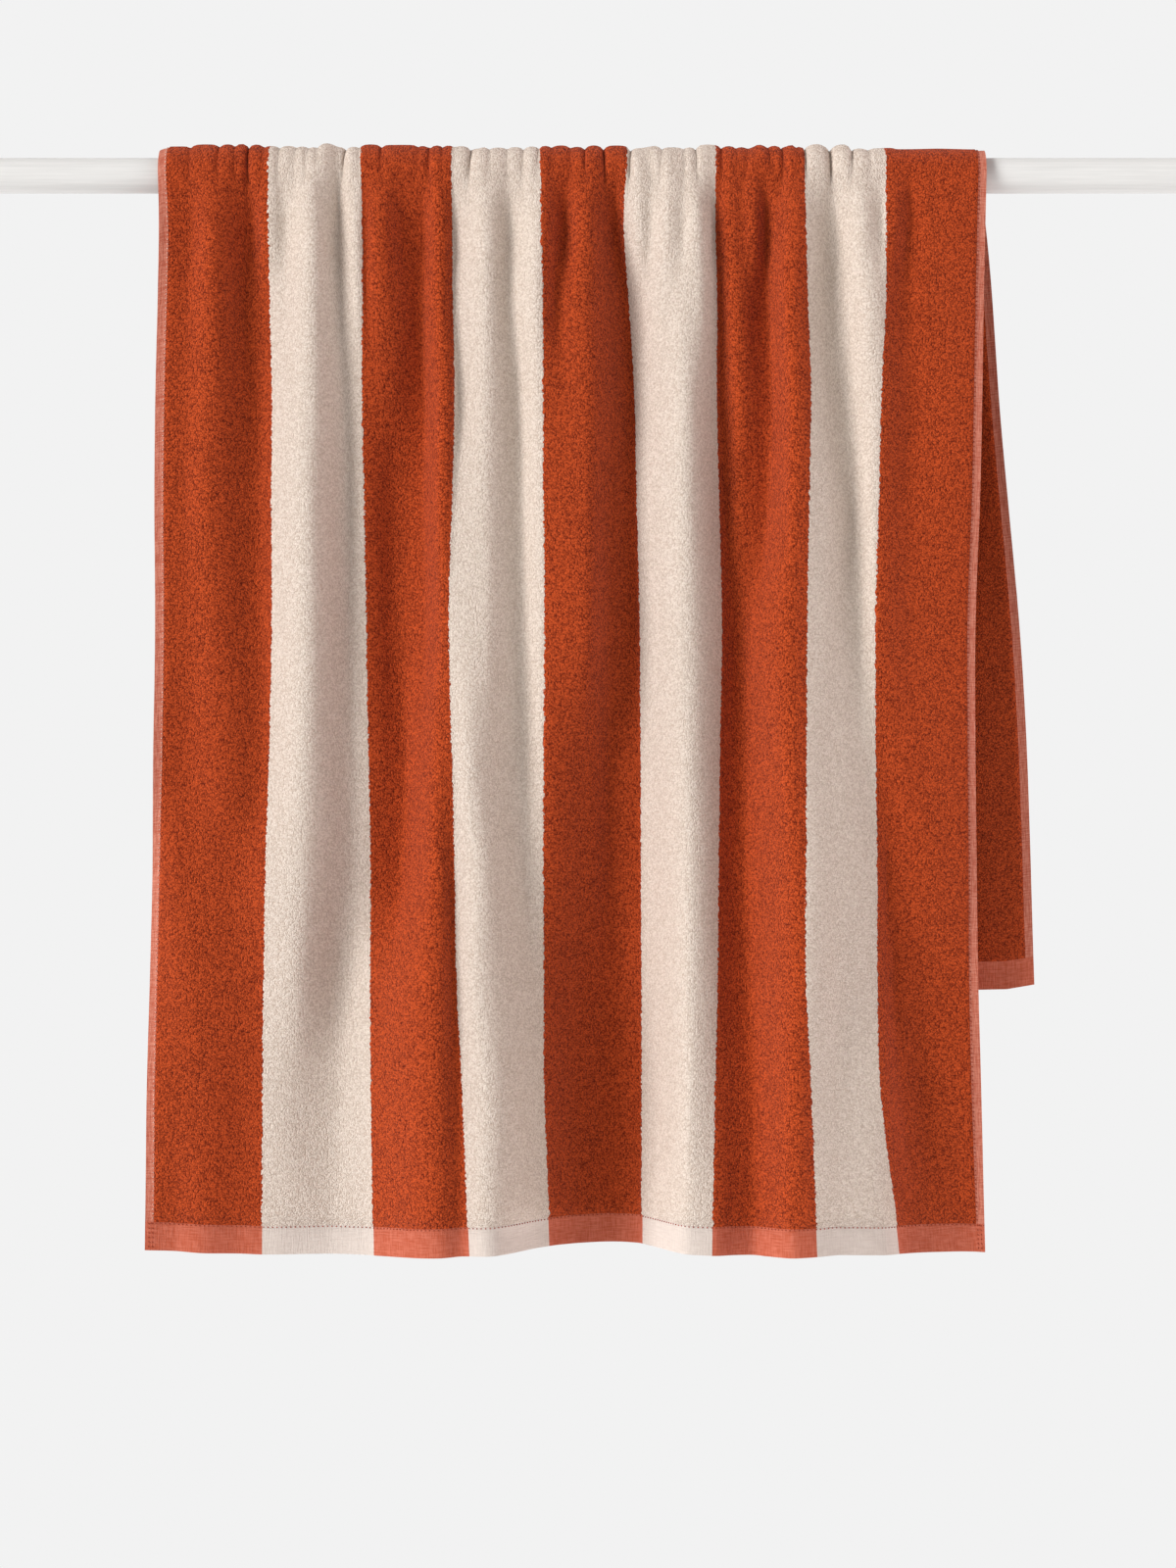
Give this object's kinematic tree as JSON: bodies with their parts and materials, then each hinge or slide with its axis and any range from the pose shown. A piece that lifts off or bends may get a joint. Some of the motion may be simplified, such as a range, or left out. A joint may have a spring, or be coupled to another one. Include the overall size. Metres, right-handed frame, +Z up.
{
  "type": "beach towel hanging over a rod",
  "caption": "Wide-striped terry beach towel draped in folds over a straight round rod, hanging lower in front than behind.",
  "frame": {"origin": "middle of the rod's left end face, on the rod's axis", "axes": "+X runs along the rod to its right end as seen from the front, +Y runs to the back, +Z is up; the towel's long panel hangs on the -Y side"},
  "size_m": [1.2192, 0.1444, 1.0004],
  "materials": {
    "terry": "looped cotton terry in wide rust and cream stripes along the towel, flat woven hems and selvages",
    "rod_paint": "satin white paint on a turned wooden dowel"
  },
  "bodies": {
    "root": {"towel": "terry", "rod": "rod_paint"}
  },
  "joints": []
}
